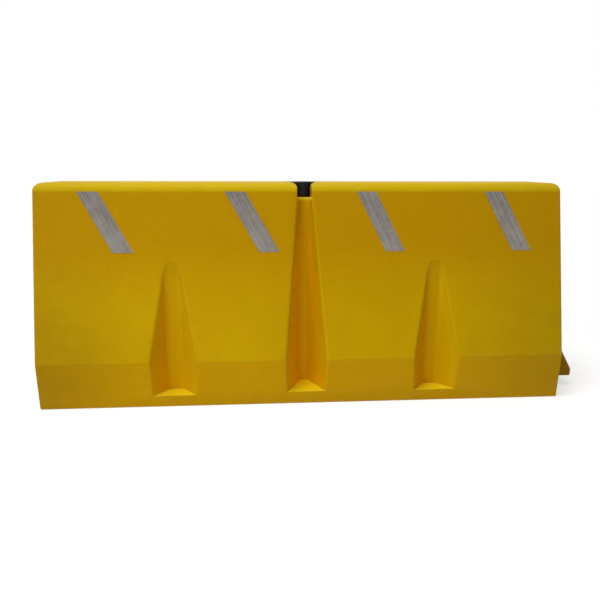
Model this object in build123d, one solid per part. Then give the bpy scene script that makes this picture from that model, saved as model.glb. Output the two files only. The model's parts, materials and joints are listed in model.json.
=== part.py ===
from build123d import *
import os

# Plastic safety barrier, hollow moulded shell filled with water or sand.
# Millimetres. X runs along the barrier, the front looks to -Y, +Z is up.
# The origin is on the ground, at the middle of the base.

# Body
length = 1500.0            # between the end faces at the ground
height = 625.0
wall = 5.0
crease_depth = 410.0       # front to back at the crease, the widest line
toe_tuck = 14.0            # how far the foot of a face lies behind the crease
toe_height = 135.0         # ground to crease
face_lean = 11.6           # lean of the face from upright, degrees
end_lean = 0.1             # lean of the end faces, degrees
top_round = 24.0
crease_round = 9.0
base_round = 5.0
corner_round = 5.0         # upright corners at the ends

# Upright grooves on the front and the back
side_groove_x = 375.0      # from the middle to a side groove
side_mouth = 132.0         # width at the crease
side_floor = 38.0          # width at the back of the groove
side_sink = 64.5           # depth at the crease
side_draft = 1.7           # forward lean of its back, degrees
side_ledge = 34.0          # height of the ledge that closes it below
side_round = 20.0          # hollow corners at the back
middle_mouth = 117.0
middle_floor = 22.0
middle_sink = 115.0
middle_draft = 0.0         # degrees
middle_ledge = 37.0
middle_round = 13.0
groove_round = 10.0        # rolled edge between groove and face
over = 40.0                # how far a cutter stands out of what it cuts

# Filler slot and well in the top
slot_width = 42.0
slot_depth = 43.0
slot_round = 4.0
slot_flare = 15.0          # rounding of its upper edges
well_radius = 50.0
well_bevel = 4.0

# Filler neck, seal and screw cap
neck_bore = 50.0
neck_outer = 60.0
neck_flange = 68.0
neck_flange_thick = 3.0
neck_tail = 3.0            # below the well floor's underside
neck_fit = 0.3             # round the neck in its hole
seal_thick = 3.0
cap_outer = 74.0
cap_top = 5.0
cap_lift = 1.0             # skirt above the neck flange
cap_gap = 1.6              # skirt round the neck, room for the thread
cap_proud = 1.0            # cap above the barrier's top
cap_bevel = 1.5
cap_notches = 24           # upright grip notches round the skirt
cap_notch_width = 4.0
cap_notch_depth = 1.4
cap_grip_across = 52.0     # finger hollows beside a bar in the top
cap_grip_depth = 3.0
cap_grip_bar = 10.0

# Link nose on the right end and the matching pocket in the left end
nose_reach = 87.0
nose_width = 200.0
nose_underside = 32.0
nose_lip = 22.0
nose_slope = 61.0          # slope of its top, degrees
nose_root = 40.0           # how far it runs into the body
nose_round = 6.0
link_gap = 5.0

# Drain low on the back
drain_end = 160.0          # from the left end
drain_height = 56.0
drain_recess = 14.0        # pocket floor behind the foot of the back face
drain_pocket = 84.0
bush_bore = 30.0
bush_outer = 40.0
bush_flange = 56.0
bush_flange_thick = 2.5
bush_tail = 3.0            # behind the pocket floor
bush_fit = 0.3
washer_outer = 46.0
washer_thick = 2.5
plug_head = 50.0
plug_head_thick = 7.0
plug_thread = 20.0
plug_gap = 1.2             # room for the thread
plug_grip_length = 38.0
plug_grip_width = 9.0
plug_grip_height = 6.0
plug_bevel = 1.5

# Reflective tape
tape_width = 50.0
left_slant = 29.9          # of the two left tapes from upright, degrees
right_slant = 26.0         # of the two right ones, degrees
tape_drop = 24.0           # its upper edge below the barrier's top
tape_height = 166.0
tape_thick = 0.5
tape_glue = 0.3
left_end_tape = 196.0      # tape centre from the left end
left_middle_tape = 149.0   # tape centre left of the middle
right_middle_tape = 217.0
right_end_tape = 162.0


def tangent(degrees):
    turned = Vector(1, 0).rotate(Axis.Z, degrees)
    return turned.Y / turned.X


# Right half of the cross-section in Y and Z, mirrored to the left.
def cross_section():
    foot = (base_depth / 2, 0)
    crease = (crease_depth / 2, toe_height)
    crown = (crease_depth / 2 - (height - toe_height) * tangent(face_lean), height)
    half = make_face(Polyline((0, 0), foot, crease, crown, (0, height), close=True))
    return half + mirror(half, about=Plane.YZ)


def rounded_section():
    section = cross_section()
    crease = section.vertices().filter_by(lambda v: abs(v.Y - toe_height) < crease_round / 2)
    return fillet(crease, crease_round)


# Front outline in X and Z. It runs past the top and the ground, so only its leaning ends cut.
def end_outline():
    low = length / 2 + over * tangent(end_lean)
    high = length / 2 - (height + over) * tangent(end_lean)
    points = [(-low, -over), (low, -over), (high, height + over), (-high, height + over)]
    return make_face(Polyline(*points, close=True))


def crossed(section, outline):
    along = extrude(Plane.YZ * section, amount=length, both=True)
    across = extrude(Plane.XZ * outline, amount=crease_depth, both=True)
    return along & across


def round_top(body, radius):
    return fillet(body.faces().sort_by(Axis.Z)[-1].edges(), radius)


def round_foot(body, radius):
    return fillet(body.faces().sort_by(Axis.Z)[0].edges(), radius)


# The upright corners are the edges of the two end faces that climb.
def round_corners(body, radius):
    ends = body.faces().sort_by(Axis.X)
    edges = ends[0].edges() + ends[-1].edges()
    return fillet(edges.filter_by(Axis.Y, reverse=True), radius)


# Plan of a front groove, from its floor out past the face.
def groove_plan(mouth, floor, sink):
    widen = (mouth - floor) / 2 / sink
    front = -crease_depth / 2
    inner = front + sink
    outer_half = mouth / 2 + over * widen
    points = [
        (-floor / 2, inner),
        (floor / 2, inner),
        (outer_half, front - over),
        (-outer_half, front - over),
    ]
    return make_face(Polyline(*points, close=True))


# The plan is raised to a prism that leans forward by the draft about the crease,
# and is kept above a level start.
def raise_plan(plan, start, draft):
    prism = extrude(Pos(0, 0, -over) * plan, amount=height + 2 * over)
    lean = Pos(0, -crease_depth / 2, toe_height) * Rot(draft, 0, 0) * Pos(0, crease_depth / 2, -toe_height)
    above = Box(length, 2 * crease_depth, 2 * height, align=(Align.CENTER, Align.CENTER, Align.MIN))
    return lean * prism & Pos(0, 0, start) * above


def rounded_plan(mouth, floor, sink, rounding):
    plan = groove_plan(mouth, floor, sink)
    return fillet(plan.vertices().group_by(Axis.Y)[-1], rounding)


def groove_cutter(mouth, floor, sink, draft, ledge, rounding):
    return raise_plan(rounded_plan(mouth, floor, sink, rounding), ledge, draft)


def groove_lining(mouth, floor, sink, draft, ledge, rounding):
    plan = offset(rounded_plan(mouth, floor, sink, rounding), wall, kind=Kind.INTERSECTION)
    return raise_plan(plan, ledge - wall, draft)


def three_grooves(side, middle):
    front = Pos(-side_groove_x, 0, 0) * side + middle + Pos(side_groove_x, 0, 0) * side
    return front + mirror(front, about=Plane.XZ)


side_values = (side_mouth, side_floor, side_sink, side_draft, side_ledge, side_round)
middle_values = (middle_mouth, middle_floor, middle_sink, middle_draft, middle_ledge, middle_round)


def groove_cutters():
    return three_grooves(groove_cutter(*side_values), groove_cutter(*middle_values))


def groove_linings():
    return three_grooves(groove_lining(*side_values), groove_lining(*middle_values))


# Edges where a groove breaks out of the faces, above its ledge. Those that climb
# with the groove's back are left out.
def mouth_edges(body, x, mouth, draft, ledge):
    reach = mouth / 2 + wall
    slide = tangent(draft)

    def inside(edge):
        return max(abs((edge @ 0).X - x), abs((edge @ 1).X - x)) < reach

    edges = body.edges().filter_by(inside)
    edges = edges.filter_by(lambda edge: edge.center().Z > ledge + wall)
    for lean in (-slide, slide):
        edges = edges.filter_by(Axis((0, 0, 0), (0, lean, 1)), reverse=True)
    return edges


def roll_mouths(body):
    edges = mouth_edges(body, 0, middle_mouth, middle_draft, middle_ledge)
    edges += mouth_edges(body, -side_groove_x, side_mouth, side_draft, side_ledge)
    edges += mouth_edges(body, side_groove_x, side_mouth, side_draft, side_ledge)
    return fillet(edges, groove_round)


# What a rounded top edge beside x takes away, to one side of it.
def flare(x, radius, side):
    square = Pos(x + side * radius / 2, height - radius / 2) * Rectangle(radius, radius)
    return square - Pos(x + side * radius, height - radius) * Circle(radius)


# Front view of the slot, in X and Z.
def slot_outline():
    tall = slot_depth + over
    outline = Pos(0, slot_floor + tall / 2) * Rectangle(slot_width, tall)
    outline = fillet(outline.vertices().group_by(Axis.Y)[0], slot_round)
    outline += flare(slot_width / 2, slot_flare, 1)
    return outline + flare(-slot_width / 2, slot_flare, -1)


def slot_cutter():
    return extrude(Plane.XZ * slot_outline(), amount=crease_depth, both=True)


def well_cutter():
    mouth = Cone(well_radius, well_radius + well_bevel, well_bevel)
    return on_filler(2 * well_radius, slot_floor, height) + Pos(0, 0, height - well_bevel / 2) * mouth


def top_lining():
    slot = extrude(Plane.XZ * offset(slot_outline(), wall, kind=Kind.INTERSECTION), amount=crease_depth, both=True)
    return slot + on_filler(2 * (well_radius + wall), slot_floor - wall, height)


# Side view of the link nose: flat underside, short lip, sloping top.
def nose_side():
    root = length / 2 - nose_root
    tip = length / 2 + nose_reach
    lip_top = nose_underside + nose_lip
    root_top = lip_top + (tip - root) * tangent(nose_slope)
    points = [(root, nose_underside), (tip, nose_underside), (tip, lip_top), (root, root_top)]
    return make_face(Polyline(*points, close=True))


def nose():
    solid = extrude(Plane.XZ * nose_side(), amount=nose_width / 2, both=True)
    root_face = solid.faces().sort_by(Axis.X)[0]
    kept = [edge.center() for edge in root_face.edges()]
    edges = solid.edges().filter_by(lambda e: min((e.center() - k).length for k in kept) > wall)
    return fillet(edges, nose_round)


def nose_hollow():
    side = offset(nose_side(), -wall, kind=Kind.INTERSECTION)
    return extrude(Plane.XZ * side, amount=nose_width / 2 - wall, both=True)


# The neighbour's nose, one length to the left and grown by a gap.
def link_pocket(grow):
    side = offset(nose_side(), grow, kind=Kind.INTERSECTION)
    return Pos(-length, 0, 0) * extrude(Plane.XZ * side, amount=nose_width / 2 + grow, both=True)


# A round piece on the drain's axis, between two distances along +Y.
def on_drain(diameter, start, end):
    place = Pos(drain_x, start, drain_height) * Rot(-90, 0, 0)
    return place * Cylinder(diameter / 2, end - start, align=(Align.CENTER, Align.CENTER, Align.MIN))


# A round piece on the filler's axis, between two heights.
def on_filler(diameter, start, end):
    return Pos(0, 0, (start + end) / 2) * Cylinder(diameter / 2, end - start)


def shell_outside():
    body = crossed(rounded_section(), end_outline())
    body = round_top(body, top_round)
    body = round_corners(body, corner_round)
    body = round_foot(body, base_round)
    body = roll_mouths(body - groove_cutters())
    body -= slot_cutter()
    body -= well_cutter()
    body += nose()
    body -= link_pocket(link_gap)
    return body - on_drain(drain_pocket, drain_seat, crease_depth)


def shell_inside():
    section = offset(cross_section(), -wall, kind=Kind.INTERSECTION)
    outline = offset(end_outline(), -wall, kind=Kind.INTERSECTION)
    room = round_top(crossed(section, outline), top_round - wall)
    room -= groove_linings()
    room -= top_lining()
    room += nose_hollow()
    room -= link_pocket(link_gap + wall)
    return room - on_drain(drain_pocket + 2 * wall, drain_seat - wall, crease_depth)


def barrier_shell():
    body = shell_outside() - shell_inside()
    body -= on_filler(neck_outer + 2 * neck_fit, slot_floor - 2 * wall, slot_floor + wall)
    return body - on_drain(bush_outer + 2 * bush_fit, drain_seat - 2 * wall, drain_seat + wall)


# Threaded neck, moulded into the well floor with a flange on top of it.
def filler_neck():
    foot = slot_floor - wall - neck_tail
    neck = on_filler(neck_outer, foot, neck_top) + on_filler(neck_flange, slot_floor, flange_top)
    return neck - on_filler(neck_bore, foot, neck_top)


def filler_seal():
    return on_filler(neck_outer, neck_top, cap_ceiling) - on_filler(neck_bore, neck_top, cap_ceiling)


# Two finger hollows in the top of the cap, with a bar left between them.
def cap_grip():
    hollow = on_filler(cap_grip_across, cap_crown - cap_grip_depth, cap_crown)
    return hollow - Pos(0, 0, cap_crown) * Box(cap_grip_across, cap_grip_bar, 2 * cap_grip_depth)


def filler_cap():
    foot = flange_top + cap_lift
    cap = on_filler(cap_outer, foot, cap_crown)
    cap = chamfer(cap.faces().sort_by(Axis.Z)[-1].edges(), cap_bevel)
    cap -= on_filler(neck_outer + 2 * cap_gap, foot, cap_ceiling)
    notch = Box(2 * cap_notch_depth, cap_notch_width, cap_ceiling - foot)
    cap -= Pos(0, 0, (foot + cap_ceiling) / 2) * PolarLocations(cap_outer / 2, cap_notches) * notch
    return cap - cap_grip()


# Threaded bush, moulded into the floor of the drain pocket the same way.
def drain_bush():
    inner = drain_seat - wall - bush_tail
    bush = on_drain(bush_outer, inner, washer_seat) + on_drain(bush_flange, drain_seat, washer_seat)
    return bush - on_drain(bush_bore, inner, washer_seat)


def drain_washer():
    hole = on_drain(bush_bore, washer_seat, plug_seat)
    return on_drain(washer_outer, washer_seat, plug_seat) - hole


def drain_plug():
    head = on_drain(plug_head, plug_seat, plug_face)
    head = chamfer(head.faces().sort_by(Axis.Y)[-1].edges(), plug_bevel)
    thread = on_drain(bush_bore - 2 * plug_gap, plug_seat - plug_thread, plug_seat)
    grip = Box(plug_grip_length, plug_grip_height, plug_grip_width)
    grip = chamfer(grip.edges().filter_by(Axis.Y), plug_bevel)
    return head + thread + Pos(drain_x, plug_face + plug_grip_height / 2, drain_height) * grip


# A skin over the section, cut to one slanting strip on the front.
def tape(x, slant):
    outer = offset(cross_section(), tape_glue + tape_thick)
    skin = Plane.YZ * (outer - offset(cross_section(), tape_glue))
    top = height - tape_drop
    bottom = top - tape_height
    drift = tape_height / 2 * tangent(slant)
    half = tape_width / 2 * (1 + tangent(slant) ** 2) ** 0.5
    points = [
        (x - drift - half, top),
        (x - drift + half, top),
        (x + drift + half, bottom),
        (x + drift - half, bottom),
    ]
    strip = extrude(Plane.XZ * make_face(Polyline(*points, close=True)), amount=crease_depth)
    return strip & extrude(skin, amount=length, both=True)


base_depth = crease_depth - 2 * toe_tuck
slot_floor = height - slot_depth
flange_top = slot_floor + neck_flange_thick
cap_crown = height + cap_proud
cap_ceiling = cap_crown - cap_top
neck_top = cap_ceiling - seal_thick
drain_x = drain_end - length / 2
drain_seat = base_depth / 2 - drain_recess
washer_seat = drain_seat + bush_flange_thick
plug_seat = washer_seat + washer_thick
plug_face = plug_seat + plug_head_thick
tape_places = [
    (left_end_tape - length / 2, left_slant),
    (-left_middle_tape, left_slant),
    (right_middle_tape, right_slant),
    (length / 2 - right_end_tape, right_slant),
]

pieces = {
    "barrier_shell": barrier_shell(),
    "filler_neck": filler_neck(),
    "filler_seal": filler_seal(),
    "filler_cap": filler_cap(),
    "drain_bush": drain_bush(),
    "drain_washer": drain_washer(),
    "drain_plug": drain_plug(),
}
for number, (place, slant) in enumerate(tape_places, start=1):
    strip = tape(place, slant)
    pieces[f"tape_front_{number}"] = strip
    pieces[f"tape_back_{number}"] = Rot(0, 0, 180) * strip

os.makedirs("parts", exist_ok=True)
for name, piece in pieces.items():
    export_step(piece, f"parts/{name}.step")
    print(name, round(piece.volume), "mm3")
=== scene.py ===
import json
import math
import bpy
import numpy as np
from mathutils import Matrix, Vector


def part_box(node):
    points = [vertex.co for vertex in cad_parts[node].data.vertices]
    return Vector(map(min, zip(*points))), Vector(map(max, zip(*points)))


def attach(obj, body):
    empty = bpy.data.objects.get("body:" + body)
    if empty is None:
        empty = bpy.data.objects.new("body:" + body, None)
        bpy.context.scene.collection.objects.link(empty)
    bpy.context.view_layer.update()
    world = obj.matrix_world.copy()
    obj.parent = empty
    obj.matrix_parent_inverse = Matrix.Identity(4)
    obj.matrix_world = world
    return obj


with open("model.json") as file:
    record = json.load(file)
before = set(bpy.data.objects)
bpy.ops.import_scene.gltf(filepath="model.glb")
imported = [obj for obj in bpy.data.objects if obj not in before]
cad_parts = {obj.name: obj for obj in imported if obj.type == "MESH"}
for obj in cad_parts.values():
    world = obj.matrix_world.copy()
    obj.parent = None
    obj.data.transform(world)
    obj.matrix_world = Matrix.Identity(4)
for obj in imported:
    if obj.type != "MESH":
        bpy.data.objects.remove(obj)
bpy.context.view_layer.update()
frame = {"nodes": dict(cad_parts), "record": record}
nodes = frame["nodes"]
scene = bpy.context.scene
print("loaded", len(nodes), "nodes")


def linear(colour):  # 0 to 255 screen colour to the shader's linear one
    share = np.array(colour, float) / 255
    light = np.where(share <= 0.04045, share / 12.92, ((share + 0.055) / 1.055) ** 2.4)
    return (*light.tolist(), 1.0)


def feed(tree, socket, value):  # a socket takes a link or a plain value
    if isinstance(value, bpy.types.NodeSocket):
        tree.links.new(value, socket)
    else:
        socket.default_value = value


def feedNames(tree, node, names, values):
    for name, value in zip(names, values):
        feed(tree, node.inputs[name], value)


def calc(tree, kind, first, second=0.0, third=0.0):
    node = tree.nodes.new("ShaderNodeMath")
    node.operation = kind
    for socket, value in zip(node.inputs, (first, second, third)):
        feed(tree, socket, value)
    return node.outputs[0]


def product(tree, first, *others):
    for other in others:
        first = calc(tree, "MULTIPLY", first, other)
    return first


def largest(tree, first, *others):
    for other in others:
        first = calc(tree, "MAXIMUM", first, other)
    return first


def less(tree, first, second):
    return calc(tree, "SUBTRACT", first, second)


def unsigned(tree, value):
    return calc(tree, "ABSOLUTE", value)


def span(tree, value, low, high, start=0.0, end=1.0):  # soft step from low to high
    node = tree.nodes.new("ShaderNodeMapRange")
    node.interpolation_type = "SMOOTHSTEP"
    feedNames(tree, node, ("Value", "From Min", "From Max", "To Min", "To Max"),
              (value, low, high, start, end))
    return node.outputs[0]


def blendColour(tree, factor, first, second, kind="MIX"):
    node = tree.nodes.new("ShaderNodeMix")
    node.data_type = "RGBA"
    node.blend_type = kind
    feedNames(tree, node, (0, 6, 7), (factor, first, second))  # 6 and 7 are its colour sockets
    return node.outputs[2]


def noise(tree, vector, scale, detail=2.0, rough=0.5):
    node = tree.nodes.new("ShaderNodeTexNoise")
    feedNames(tree, node, ("Vector", "Scale", "Detail", "Roughness"), (vector, scale, detail, rough))
    return node.outputs[0]


def patches(tree, vector, grain, step):  # noise of that grain, cut into soft patches
    return span(tree, noise(tree, vector, *grain), *step)


def swing(tree, value, middle, spread):  # a value from 0 to 1, made to swing about the middle
    return calc(tree, "MULTIPLY_ADD", value, spread, middle - spread / 2)


def stretch(tree, vector, scale):
    node = tree.nodes.new("ShaderNodeMapping")
    feedNames(tree, node, ("Vector", "Scale"), (vector, scale))
    return node.outputs[0]


def relief(tree, height, depth, under=None):  # bump of that depth in metres, over another one
    node = tree.nodes.new("ShaderNodeBump")
    feedNames(tree, node, ("Height", "Strength", "Distance"), (height, 1.0, depth))
    if under is not None:
        feed(tree, node.inputs["Normal"], under)
    return node.outputs[0]


def surfaceNormal(tree):
    return tree.nodes.new("ShaderNodeNewGeometry").outputs["Normal"]


def objectPlace(tree):
    return tree.nodes.new("ShaderNodeTexCoord").outputs["Object"]


def splitAxes(tree, vector):
    split = tree.nodes.new("ShaderNodeSeparateXYZ")
    tree.links.new(vector, split.inputs[0])
    return split.outputs


def startMaterial(name):
    made = bpy.data.materials.new(name)
    made.use_nodes = True
    tree = made.node_tree
    tree.nodes.clear()
    out = tree.nodes.new("ShaderNodeOutputMaterial")
    shader = tree.nodes.new("ShaderNodeBsdfPrincipled")
    tree.links.new(shader.outputs["BSDF"], out.inputs["Surface"])
    return made, tree, shader, objectPlace(tree)


# A grain is a noise's scale per metre, its detail and its roughness.
# A step is where a change begins and ends, and the share that it has at each.
yellowFinish = {
    "bright": (222, 177, 3),
    "deep": (217, 170, 2),
    # painted shade tones for the crown and the toe
    "crown": (208, 155, 2),
    "toe": (226, 171, 1),
    "grooveShadeTone": (221, 171, 2),             # painted shade tone of the groove walls
    "wallPaintedLight": (226, 188, 6),            # painted light on groove walls that face the light
    "wallPaintedShade": (229, 168, 1),            # painted shade on groove walls turned away from the light
    "cornerPaintedLight": (240, 184, 1),           # painted light in the far corners of the middle groove
    # painted highlight colour
    "paintedHighlight": (246, 218, 18),
    "scuff": (226, 204, 118),
    # dirt colour, also used for painted shade
    "grimeAndShade": (95, 65, 14),
    "gloss": (255, 232, 60),
    "roughness": 0.42,
    "specular": 0.5,
    # measures of the moulding
    "creaseHeight": 0.135,
    "creaseReach": 0.205,               # half depth of the barrier at the crease
    "faceLean": 11.6,                   # degrees
    "toeTuck": 0.014,
    "endReach": 0.75,
    "topHeight": 0.625,
    "slotHeight": 0.582,
    "slotReach": 0.021,
    # pigment
    "toneGrain": (4.5, 3.0, 0.55),      # slow drift
    "toneStep": (0.36, 0.64),
    "fleckGrain": (85.0, 3.0, 0.6),     # fine mottle
    "fleckStep": (0.3, 0.7, 0.975, 1.015),
    "crownStep": (0.26, 0.48),
    "toeStep": (-0.008, 0.004, 0.85, 0.0),          # from the crease
    # grooves, painted light and shade by depth behind the face, by the turn of the wall to the right,
    # and by place
    "grooveDepth": (0.001, 0.018),
    "grooveEnd": (-0.03, -0.01, 1.0, 0.0),          # from the end faces
    "grooveTop": (-0.05, -0.02, 1.0, 0.0),          # from the top
    "caughtTurn": (-0.6, -0.15, 1.0, 0.0),
    "caughtDepth": (0.008, 0.03, 1.0, 0.45),
    "hiddenTurn": (0.1, 0.5),
    "cornerTurn": (-0.8, -0.5, 1.0, 0.25),
    "cornerPlace": (0.1, 0.125, 1.0, 0.25),
    "farTurn": (0.2, 0.6, 0.25, 1.0),
    "cornerHeight": (0.4, 0.55, 1.0, 0.35),
    "middleReach": (0.07, 0.09, 1.0, 0.0),
    # painted highlight on level surfaces, the slot lip and the top brow
    "levelTurn": (0.3, 0.55, 0.0, 0.95),
    "levelHeight": (0.1, 0.3, 1.0, 0.6),
    "lipRise": (-0.009, -0.001),                    # from the floor of the slot
    "lipFall": (0.001, 0.004, 0.9, 0.0),
    "lipReach": (-0.001, 0.003, 1.0, 0.0),          # from the side of the slot
    "lipPlace": (0.06, 0.07),
    "browStep": (-0.028, -0.018, 0.0, 0.55),        # from the top
    "paintedLightGrain": (14.0, 4.0, 0.6),
    "paintedLightStep": (0.3, 0.7, 0.85, 1.0),
    # scratches and rubbed edges
    "creaseRub": (0.0, 0.022, 0.4, 0.0),
    "toeRub": (0.0, 0.13, 0.7, 0.0),
    "topRub": (-0.022, 0.0, 0.0, 0.8),
    "scratchStretch": (14.0, 120.0, 420.0),
    "scratchGrain": (1.0, 6.0, 0.7),
    "scratchStep": (0.52, 0.68),
    "scratchShare": 0.42,
    "rubGrain": (5.5, 3.0),
    "rubStep": (0.36, 0.6),
    "edgeRadius": 0.003,
    "edgeSamples": 6,
    "edgeTurn": (0.86, 0.985, 0.5, 0.0),
    "edgeGrain": (60.0, 4.0, 0.65),
    "edgeStep": (0.42, 0.62),
    # dust and dirt, with painted shade at the ends and on the nose
    "rightEndShade": (-0.35, 0.0, 0.0, 0.15),           # from the end faces
    "leftEndShade": (-0.35, 0.0, 0.0, 0.22),
    "endHeight": (0.12, 0.5, 1.7, 0.5),
    "footDust": (0.0, 0.06, 0.16, 0.0),
    "dustGrain": (16.0, 4.0, 0.6),
    "dustStep": (0.3, 0.66, 0.82, 1.0),
    "noseSoilAndShade": (0.002, 0.012, 0.0, 0.67),          # from the right end face
    "lowSoil": (0.14, 0.46, 0.45, 0.0),
    "sideSoil": (0.1, 0.22, 1.0, 0.4),
    "endSoil": (-0.004, -0.001),
    "soilGrain": (18.0, 5.0, 0.65),
    "soilStep": (0.3, 0.7, 0.85, 1.05),
    # gloss and relief
    "roughGrain": (26.0, 3.0),
    "roughSpread": 0.12,
    "levelEdgeRough": 0.3,
    "scratchRough": 0.16,
    "dustRough": 0.4,
    "waveGrain": (8.0, 1.0),            # slow ripple left by cooling
    "waveDepth": 0.0012,
    "peelGrain": (380.0, 2.0),          # orange peel of the mould wall
    "peelDepth": 0.00045,
    "partingStep": (0.0002, 0.0011, 1.0, 0.0),
    "partingDepth": 0.0004,
}


def makeYellow(v):
    made, tree, shader, place = startMaterial("mouldedYellow")
    along, across, height = splitAxes(tree, place)
    reach = unsigned(tree, along)
    off = unsigned(tree, across)
    overCrease = less(tree, height, v["creaseHeight"])
    overSlot = less(tree, height, v["slotHeight"])
    overTop = less(tree, height, v["topHeight"])
    pastEnd = less(tree, reach, v["endReach"])
    pastRight = less(tree, along, v["endReach"])
    pastLeft = less(tree, -v["endReach"], along)
    normal = surfaceNormal(tree)
    facing = splitAxes(tree, normal)

    tone = patches(tree, place, v["toneGrain"], v["toneStep"])
    colour = blendColour(tree, tone, linear(v["deep"]), linear(v["bright"]))
    # painted shade: darker towards the crown, and a warmer painted shade below the crease, where the
    # toe turns down from the light
    colour = blendColour(tree, span(tree, height, *v["crownStep"]), colour, linear(v["crown"]))
    colour = blendColour(tree, span(tree, overCrease, *v["toeStep"]), colour, linear(v["toe"]))
    fleck = patches(tree, place, v["fleckGrain"], v["fleckStep"])
    colour = blendColour(tree, 1.0, colour, fleck, "MULTIPLY")

    # the grooves lie behind the face, which leans back above the crease and tucks in below it
    upper = product(tree, overCrease, math.tan(math.radians(v["faceLean"])))
    lower = product(tree, overCrease, -v["toeTuck"] / v["creaseHeight"])
    face = less(tree, v["creaseReach"], largest(tree, upper, lower))
    depth = less(tree, face, off)
    inGroove = product(tree, span(tree, depth, *v["grooveDepth"]),
                        span(tree, pastEnd, *v["grooveEnd"]), span(tree, overTop, *v["grooveTop"]))
    # painted light on the walls that face the light, painted shade on the walls turned away from it
    lit = product(tree, span(tree, facing[0], *v["caughtTurn"]), span(tree, depth, *v["caughtDepth"]))
    wall = blendColour(tree, lit, linear(v["grooveShadeTone"]), linear(v["wallPaintedLight"]))
    wall = blendColour(tree, span(tree, facing[0], *v["hiddenTurn"]), wall, linear(v["wallPaintedShade"]))
    # the middle one has the tone of the face, with painted light in its far corners
    corner = product(tree, span(tree, facing[0], *v["cornerTurn"]), span(tree, off, *v["cornerPlace"]))
    corner = largest(tree, corner, span(tree, facing[0], *v["farTurn"]))
    corner = product(tree, corner, span(tree, height, *v["cornerHeight"]))
    core = blendColour(tree, corner, colour, linear(v["cornerPaintedLight"]))
    groove = blendColour(tree, span(tree, reach, *v["middleReach"]), wall, core)
    # the grooves take these painted tones of light and shade
    colour = blendColour(tree, inGroove, colour, groove)

    # painted highlight on level surfaces, as if lit strongly from above
    level = product(tree, span(tree, facing[2], *v["levelTurn"]), span(tree, height, *v["levelHeight"]))
    # and on the lip where the floor of the slot meets the groove
    lip = product(tree, span(tree, overSlot, *v["lipRise"]), span(tree, overSlot, *v["lipFall"]),
                  span(tree, less(tree, reach, v["slotReach"]), *v["lipReach"]),
                  span(tree, off, *v["lipPlace"]))
    # and the rounded brow of the top, down to where the strips begin
    brow = span(tree, overTop, *v["browStep"])
    level = product(tree, largest(tree, level, lip, brow),
                    patches(tree, place, v["paintedLightGrain"], v["paintedLightStep"]))
    colour = blendColour(tree, level, colour, linear(v["paintedHighlight"]))

    # rubbing along the crease, the toe and the top edges leaves pale level scratches
    zone = largest(tree, span(tree, unsigned(tree, overCrease), *v["creaseRub"]),
                   span(tree, height, *v["toeRub"]), span(tree, overTop, *v["topRub"]))
    zone = product(tree, zone, less(tree, 1.0, inGroove))
    strokes = stretch(tree, place, v["scratchStretch"])
    scratch = product(tree, patches(tree, strokes, v["scratchGrain"], v["scratchStep"]), zone,
                      patches(tree, place, v["rubGrain"], v["rubStep"]))
    colour = blendColour(tree, product(tree, scratch, v["scratchShare"]), colour, linear(v["scuff"]))
    # moulded edges are soft, and rubbed pale where they turn
    soft = tree.nodes.new("ShaderNodeBevel")
    soft.samples = v["edgeSamples"]
    soft.inputs["Radius"].default_value = v["edgeRadius"]
    turned = tree.nodes.new("ShaderNodeVectorMath")
    turned.operation = "DOT_PRODUCT"
    tree.links.new(soft.outputs[0], turned.inputs[0])
    tree.links.new(normal, turned.inputs[1])
    edge = product(tree, span(tree, turned.outputs["Value"], *v["edgeTurn"]),
                   patches(tree, place, v["edgeGrain"], v["edgeStep"]))
    colour = blendColour(tree, edge, colour, linear(v["scuff"]))

    # road dust clings to the foot, and painted shade darkens the ends, less of it higher up
    ends = largest(tree, span(tree, pastRight, *v["rightEndShade"]), span(tree, pastLeft, *v["leftEndShade"]))
    ends = product(tree, ends, span(tree, height, *v["endHeight"]))
    dust = product(tree, largest(tree, span(tree, height, *v["footDust"]), ends),
                   patches(tree, place, v["dustGrain"], v["dustStep"]))
    colour = blendColour(tree, dust, colour, linear(v["grimeAndShade"]))
    # the nose is darkened partly by dirt from the ground and handling and partly as painted shade, and
    # the end faces low down are dirty
    around = product(tree, span(tree, height, *v["lowSoil"]), span(tree, off, *v["sideSoil"]),
                     span(tree, pastEnd, *v["endSoil"]))
    soilAndShade = product(tree, largest(tree, span(tree, pastRight, *v["noseSoilAndShade"]), around),
                   patches(tree, place, v["soilGrain"], v["soilStep"]))
    colour = blendColour(tree, soilAndShade, colour, linear(v["grimeAndShade"]))
    feed(tree, shader.inputs["Base Color"], colour)

    rough = swing(tree, noise(tree, place, *v["roughGrain"]), v["roughness"], v["roughSpread"])
    rough = calc(tree, "MULTIPLY_ADD", largest(tree, level, edge), v["levelEdgeRough"], rough)
    rough = calc(tree, "MULTIPLY_ADD", scratch, v["scratchRough"], rough)
    rough = calc(tree, "MULTIPLY_ADD", dust, v["dustRough"], rough)
    feed(tree, shader.inputs["Roughness"], rough)
    shader.inputs["Specular IOR Level"].default_value = v["specular"]
    shader.inputs["Specular Tint"].default_value = linear(v["gloss"])
    wave = relief(tree, noise(tree, place, *v["waveGrain"]), v["waveDepth"], soft.outputs[0])
    peel = relief(tree, noise(tree, place, *v["peelGrain"]), v["peelDepth"], wave)
    # faint parting line where the two halves of the mould met
    parting = relief(tree, span(tree, off, *v["partingStep"]), v["partingDepth"], peel)
    feed(tree, shader.inputs["Normal"], parting)
    return made


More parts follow.
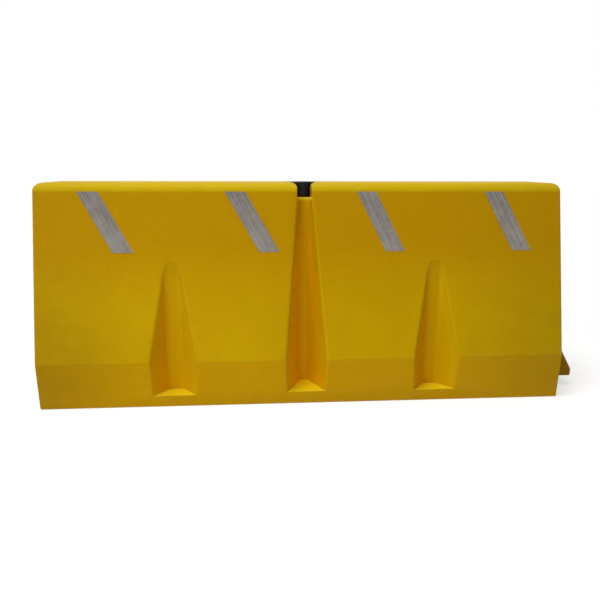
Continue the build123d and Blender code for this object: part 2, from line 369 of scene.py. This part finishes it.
tapeFinish = {
    "light": (171, 164, 157),
    "dark": (118, 111, 107),
    "seam": (204, 198, 190),
    "worn": (128, 116, 96),
    "cell": 0.0092,                     # pitch of the reflecting cells
    "seamStep": (0.37, 0.48),           # from the middle of a cell to its pale edge
    "seamShare": 0.36,
    "seamDepth": 0.00012,
    "cellShare": 0.16,                  # how far one cell's tone differs from the next
    "band": 0.017,                      # pitch of the darker bands along the strip
    "bandShare": 0.05,
    "slant": 29.9,                      # degrees from upright
    "streakStretch": (260.0, 9.0, 1.0),
    "streakGrain": (1.0, 3.0, 0.6),
    "streakStep": (0.32, 0.68, 0.15, 0.7),
    "blotchGrain": (22.0, 2.0),
    "blotchStep": (0.3, 0.7, -0.12, 0.16),
    "heightStep": (0.43, 0.6, 0.12, -0.22),         # darker towards the top
    "wornGrain": (45.0, 4.0, 0.6),
    "wornStep": (0.55, 0.72, 0.0, 0.3),
    "roughness": 0.38,
    "roughSpread": 0.2,
    "specular": 0.35,
}
rightTape = {"slant": 26.0, "bandShare": 0.14, "light": (178, 170, 163), "dark": (123, 115, 111)}


def makeTape(name, v):
    made, tree, shader, place = startMaterial(name)
    axes = splitAxes(tree, place)
    leanSine, leanCosine = math.sin(math.radians(v["slant"])), math.cos(math.radians(v["slant"]))
    # the back strips are the front ones turned half round, so X changes sign with Y
    along = product(tree, calc(tree, "SIGN", axes[1]), -1.0, axes[0])
    across = calc(tree, "ADD", product(tree, along, leanCosine), product(tree, axes[2], leanSine))
    down = less(tree, product(tree, along, leanSine), product(tree, axes[2], leanCosine))
    strip = tree.nodes.new("ShaderNodeCombineXYZ")
    feedNames(tree, strip, ("X", "Y"), (across, down))
    film = strip.outputs[0]
    # square cells stand on their corners, with pale welded edges, and each has its own tone
    cellPlace = tree.nodes.new("ShaderNodeCombineXYZ")
    edges = []
    for axis, kind in (("X", "ADD"), ("Y", "SUBTRACT")):
        count = calc(tree, "DIVIDE", calc(tree, kind, across, down), v["cell"])
        feed(tree, cellPlace.inputs[axis], calc(tree, "FLOOR", count))
        off = unsigned(tree, less(tree, calc(tree, "FRACT", count), 0.5))
        edges.append(span(tree, off, *v["seamStep"]))
    seam = largest(tree, *edges)
    cellTone = tree.nodes.new("ShaderNodeTexWhiteNoise")
    cellTone.noise_dimensions = "2D"
    tree.links.new(cellPlace.outputs[0], cellTone.inputs["Vector"])
    streak = noise(tree, stretch(tree, film, v["streakStretch"]), *v["streakGrain"])
    band = calc(tree, "SINE", product(tree, across, 2 * math.pi / v["band"]))
    shade = span(tree, streak, *v["streakStep"])
    shade = calc(tree, "MULTIPLY_ADD", band, v["bandShare"], shade)
    shade = calc(tree, "ADD", shade, patches(tree, film, v["blotchGrain"], v["blotchStep"]))
    shade = calc(tree, "MULTIPLY_ADD", cellTone.outputs["Value"], v["cellShare"], shade)
    shade = calc(tree, "ADD", shade, span(tree, axes[2], *v["heightStep"]))
    colour = blendColour(tree, shade, linear(v["dark"]), linear(v["light"]))
    colour = blendColour(tree, product(tree, seam, v["seamShare"]), colour, linear(v["seam"]))
    worn = patches(tree, film, v["wornGrain"], v["wornStep"])
    colour = blendColour(tree, worn, colour, linear(v["worn"]))
    feed(tree, shader.inputs["Base Color"], colour)
    feed(tree, shader.inputs["Roughness"], swing(tree, streak, v["roughness"], v["roughSpread"]))
    shader.inputs["Specular IOR Level"].default_value = v["specular"]
    feed(tree, shader.inputs["Normal"], relief(tree, seam, v["seamDepth"]))
    return made


blackFinish = {
    "body": (18, 17, 16),
    "pale": (34, 33, 31),
    "dust": (84, 78, 64),
    "mottleGrain": (160.0, 4.0, 0.6),
    "mottleStep": (0.35, 0.7, 0.0, 0.6),
    "levelTurn": (0.6, 0.98, 0.0, 0.28),            # dust settles on level surfaces
    "dustGrain": (70.0, 4.0, 0.6),
    "dustStep": (0.4, 0.65),
    "roughness": 0.5,
    "roughGrain": (240.0, 3.0),
    "roughSpread": 0.16,
    "dustRough": 0.5,
    "specular": 0.28,
    "skinGrain": (1400.0, 2.0),
    "skinDepth": 0.00004,
}


def makeBlack(v):
    made, tree, shader, place = startMaterial("blackMoulded")
    mottle = patches(tree, place, v["mottleGrain"], v["mottleStep"])
    colour = blendColour(tree, mottle, linear(v["body"]), linear(v["pale"]))
    facing = splitAxes(tree, surfaceNormal(tree))
    dust = product(tree, span(tree, facing[2], *v["levelTurn"]),
                   patches(tree, place, v["dustGrain"], v["dustStep"]))
    colour = blendColour(tree, dust, colour, linear(v["dust"]))
    feed(tree, shader.inputs["Base Color"], colour)
    rough = swing(tree, noise(tree, place, *v["roughGrain"]), v["roughness"], v["roughSpread"])
    rough = calc(tree, "MULTIPLY_ADD", dust, v["dustRough"], rough)
    feed(tree, shader.inputs["Roughness"], rough)
    shader.inputs["Specular IOR Level"].default_value = v["specular"]
    skin = relief(tree, noise(tree, place, *v["skinGrain"]), v["skinDepth"])
    feed(tree, shader.inputs["Normal"], skin)
    return made


rubberFinish = {
    "body": (26, 26, 27),
    "bloom": (58, 57, 55),
    "bloomGrain": (220.0, 4.0, 0.65),
    "bloomStep": (0.42, 0.72, 0.0, 0.5),
    "roughness": 0.75,
    "bloomRough": 0.2,
    "specular": 0.25,
    "skinGrain": (2200.0, 2.0),
    "skinDepth": 0.00005,
}


def makeRubber(v):
    made, tree, shader, place = startMaterial("sealRubber")
    bloom = patches(tree, place, v["bloomGrain"], v["bloomStep"])
    colour = blendColour(tree, bloom, linear(v["body"]), linear(v["bloom"]))
    feed(tree, shader.inputs["Base Color"], colour)
    rough = calc(tree, "MULTIPLY_ADD", bloom, v["bloomRough"], v["roughness"])
    feed(tree, shader.inputs["Roughness"], rough)
    shader.inputs["Specular IOR Level"].default_value = v["specular"]
    skin = relief(tree, noise(tree, place, *v["skinGrain"]), v["skinDepth"])
    feed(tree, shader.inputs["Normal"], skin)
    return made


yellow = makeYellow(yellowFinish)
leftFilm = makeTape("leftFilm", tapeFinish)
rightFilm = makeTape("rightFilm", {**tapeFinish, **rightTape})
black = makeBlack(blackFinish)
rubber = makeRubber(rubberFinish)
finishes = {
    "yellow_plastic": yellow,
    "reflective_tape": leftFilm,
    "black_plastic": black,
    "seal_rubber": rubber,
}
rightStrips = ("_3", "_4")  # how the names of the right pair on each face end
for part in frame["record"]["subparts"]:
    chosen = finishes[part["material_slot"]]
    if part["node"].endswith(rightStrips):
        chosen = rightFilm
    for slot in nodes[part["node"]].material_slots:
        slot.material = chosen


# rings is (count, around, 3): each ring is closed, joined to the next by quads, and the ends are capped
def gridMesh(name, rings, crispFrom):
    count, around = rings.shape[:2]
    step = np.arange(count - 1)[:, None] * around
    here = np.arange(around)[None, :]
    after = (here + 1) % around
    corners = [step + here, step + after, step + around + after, step + around + here]
    quads = np.stack(corners, axis=-1).reshape(-1, 4)
    last = (count - 1) * around
    caps = [list(range(around))[::-1], list(range(last, last + around))]
    faces = quads.tolist() + caps
    mesh = bpy.data.meshes.new(name)
    mesh.from_pydata(rings.reshape(-1, 3).tolist(), [], faces)
    mesh.polygons.foreach_set("use_smooth", np.ones(len(faces), bool))
    mesh.set_sharp_from_angle(angle=math.radians(crispFrom))
    mesh.update()
    made = bpy.data.objects.new(name, mesh)
    scene.collection.objects.link(made)
    return made


threadForm = {
    "stepsPerTurn": 60,
    "runOut": 0.9,          # radians over which the ridge rises at each end
    "leastRise": 0.03,      # share of the ridge that is left there
    "crispFrom": 35,        # degrees
}
neckThread = {
    **threadForm,
    "root": 0.0299,
    "crest": 0.0312,
    "rootWidth": 0.0030,
    "crestWidth": 0.0012,
    "pitch": 0.006,
    "turns": 3.2,
    "start": 0.5925,
}
plugThread = {
    **threadForm,
    "root": 0.0137,
    "crest": 0.0147,
    "rootWidth": 0.0022,
    "crestWidth": 0.0008,
    "pitch": 0.004,
    "turns": 3.6,
    "start": -0.0175,
}


# A four-cornered ridge carried round a helix: angle a climbs a / 2 pi pitches along the axis,
# and the crest sinks to the root over the last part of a turn at each end.
def threadRidge(name, v, middle, side, front, axis):
    turn = np.linspace(0, v["turns"] * 2 * np.pi, int(v["turns"] * v["stepsPerTurn"]) + 1)
    fade = np.clip(np.minimum(turn, turn[-1] - turn) / v["runOut"], 0, 1)
    fade = fade * fade * (3 - 2 * fade)
    rise = v["start"] + v["pitch"] * turn / (2 * np.pi)
    root = np.full_like(turn, v["root"])
    crest = root + (v["crest"] - v["root"]) * np.maximum(fade, v["leastRise"])
    radius = np.stack([root, crest, crest, root], axis=1)
    offset = np.array([-v["rootWidth"], -v["crestWidth"], v["crestWidth"], v["rootWidth"]]) / 2
    along = rise[:, None] + offset[None, :]
    spoke = np.cos(turn)[:, None] * np.array(side) + np.sin(turn)[:, None] * np.array(front)
    points = np.array(middle) + radius[:, :, None] * spoke[:, None, :]
    points = points + along[:, :, None] * np.array(axis)
    return gridMesh(name, points, v["crispFrom"])


def placeThread(made, body):
    made.data.materials.append(black)
    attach(made, body)


xAxis, yAxis, zAxis = np.eye(3).tolist()
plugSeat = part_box("drain_washer")[1][1]
drainLow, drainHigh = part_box("drain_bush")
drainMiddle = ((drainLow[0] + drainHigh[0]) / 2, plugSeat, (drainLow[2] + drainHigh[2]) / 2)
placeThread(threadRidge("neckThread", neckThread, (0, 0, 0), xAxis, yAxis, zAxis), "barrier")
placeThread(threadRidge("plugThread", plugThread, drainMiddle, zAxis, xAxis, yAxis), "plug")
print("threads cut on the neck and the plug")


def blendShader(tree, factor, first, second):
    mix = tree.nodes.new("ShaderNodeMixShader")
    for socket, given in zip(mix.inputs, (factor, first, second)):
        tree.links.new(given, socket)
    return mix.outputs[0]


def looking(tree):  # 1 for camera, mirror and see-through rays
    path = tree.nodes.new("ShaderNodeLightPath")
    total = calc(tree, "ADD", path.outputs["Is Camera Ray"], path.outputs["Is Glossy Ray"])
    total = calc(tree, "ADD", total, path.outputs["Is Transmission Ray"])
    return calc(tree, "MINIMUM", total, 1.0)


groundFinish = {
    "reach": 14.0,
    "level": -0.0004,
    "bounce": (222, 221, 218),
    "seen": (215, 215, 214),
    "lift": 0.6,
    "near": (1.3, 0.9),         # half axes of the patch that shows the shadow
    "nearStep": (0.8, 1.6),     # where it fades to white, in shares of these
}


def makeGround(v):
    mesh = bpy.data.meshes.new("ground")
    half = v["reach"] / 2
    corners = [(half * x, half * y, v["level"]) for x, y in ((-1, -1), (1, -1), (1, 1), (-1, 1))]
    mesh.from_pydata(corners, [], [(0, 1, 2, 3)])
    made = bpy.data.objects.new("ground", mesh)
    scene.collection.objects.link(made)
    pale = bpy.data.materials.new("paleGround")
    pale.use_nodes = True
    tree = pale.node_tree
    tree.nodes.clear()
    out = tree.nodes.new("ShaderNodeOutputMaterial")
    plain = tree.nodes.new("ShaderNodeBsdfDiffuse")
    plain.inputs["Color"].default_value = linear(v["bounce"])
    seen = tree.nodes.new("ShaderNodeBsdfDiffuse")
    seen.inputs["Color"].default_value = linear(v["seen"])
    glow = tree.nodes.new("ShaderNodeEmission")
    glow.inputs["Strength"].default_value = v["lift"]
    both = tree.nodes.new("ShaderNodeAddShader")
    tree.links.new(seen.outputs[0], both.inputs[0])
    tree.links.new(glow.outputs[0], both.inputs[1])
    white = tree.nodes.new("ShaderNodeEmission")
    spot = stretch(tree, objectPlace(tree), (1 / v["near"][0], 1 / v["near"][1], 0.0))
    far = tree.nodes.new("ShaderNodeVectorMath")
    far.operation = "LENGTH"
    tree.links.new(spot, far.inputs[0])
    away = span(tree, far.outputs["Value"], *v["nearStep"])
    shown = blendShader(tree, away, both.outputs[0], white.outputs[0])
    ground = blendShader(tree, looking(tree), plain.outputs[0], shown)
    tree.links.new(ground, out.inputs["Surface"])
    mesh.materials.append(pale)


airLight = {"colour": (255, 255, 255), "strength": 0.17}


def makeAir(v):
    air = bpy.data.worlds.new("paleAir")
    air.use_nodes = True
    tree = air.node_tree
    tree.nodes.clear()
    out = tree.nodes.new("ShaderNodeOutputWorld")
    dim = tree.nodes.new("ShaderNodeBackground")
    dim.inputs["Color"].default_value = linear(v["colour"])
    dim.inputs["Strength"].default_value = v["strength"]
    white = tree.nodes.new("ShaderNodeBackground")
    white.inputs["Color"].default_value = (1, 1, 1, 1)
    sky = blendShader(tree, looking(tree), dim.outputs[0], white.outputs[0])
    tree.links.new(sky, out.inputs["Surface"])
    scene.world = air


lamps = {
    "high": {"place": (-1.0, -1.35, 6.0), "aim": (0.0, -0.15, 0.3),
             "size": (2.4, 2.4), "power": 188.0},
    "side": {"place": (-2.5, -2.75, 0.88), "aim": (0.0, -0.15, 0.27),
             "size": (1.9, 0.8), "power": 15.5},
    "near": {"place": (-0.4, -1.45, 0.2), "aim": (0.05, -0.2, 0.15),
             "size": (0.4, 0.4), "power": 1.0},
    "behind": {"place": (-1.4, 3.2, 0.42), "aim": (0.0, 0.2, 0.3),
               "size": (1.6, 0.5), "power": 30.0},
    "right": {"place": (3.6, 1.6, 1.6), "aim": (0.5, 0.1, 0.3),
              "size": (1.2, 1.2), "power": 5.0},
}


def makeLamp(name, v):
    lamp = bpy.data.lights.new(name, "AREA")
    lamp.shape = "RECTANGLE"
    lamp.size, lamp.size_y = v["size"]
    lamp.energy = v["power"]
    made = bpy.data.objects.new(name, lamp)
    made.location = v["place"]
    made.rotation_mode = "QUATERNION"
    made.rotation_quaternion = (Vector(v["aim"]) - Vector(v["place"])).to_track_quat("-Z", "Y")
    scene.collection.objects.link(made)


makeGround(groundFinish)
makeAir(airLight)
for name, values in lamps.items():
    makeLamp(name, values)
print("ground, air and", len(lamps), "lamps")

cameraView = {
    "place": (-0.1484, -1.9012, 0.6761),
    "turn": 0.0785,         # radians right of +Y
    "dip": 0.2118,          # radians below level
    "roll": 0.0030,
    "lens": 37.69,
    "sensor": 36.0,
    "shift": (-0.0030, -0.0009),
}


def makeCamera(v):
    up = Vector((0, 0, 1))
    ahead = Vector((math.sin(v["turn"]), math.cos(v["turn"]), 0))
    right = Vector((math.cos(v["turn"]), -math.sin(v["turn"]), 0))
    look = ahead * math.cos(v["dip"]) - up * math.sin(v["dip"])
    head = up * math.cos(v["dip"]) + ahead * math.sin(v["dip"])
    side = right * math.cos(v["roll"]) + head * math.sin(v["roll"])
    crown = head * math.cos(v["roll"]) - right * math.sin(v["roll"])
    lens = bpy.data.cameras.new("photoView")
    lens.sensor_width = v["sensor"]
    lens.lens = v["lens"]
    lens.shift_x, lens.shift_y = v["shift"]
    made = bpy.data.objects.new("photoView", lens)
    turned = Matrix((side, crown, -look)).transposed().to_4x4()
    made.matrix_world = Matrix.Translation(v["place"]) @ turned
    scene.collection.objects.link(made)
    scene.camera = made


makeCamera(cameraView)
scene.view_settings.view_transform = "Standard"
print("camera set")
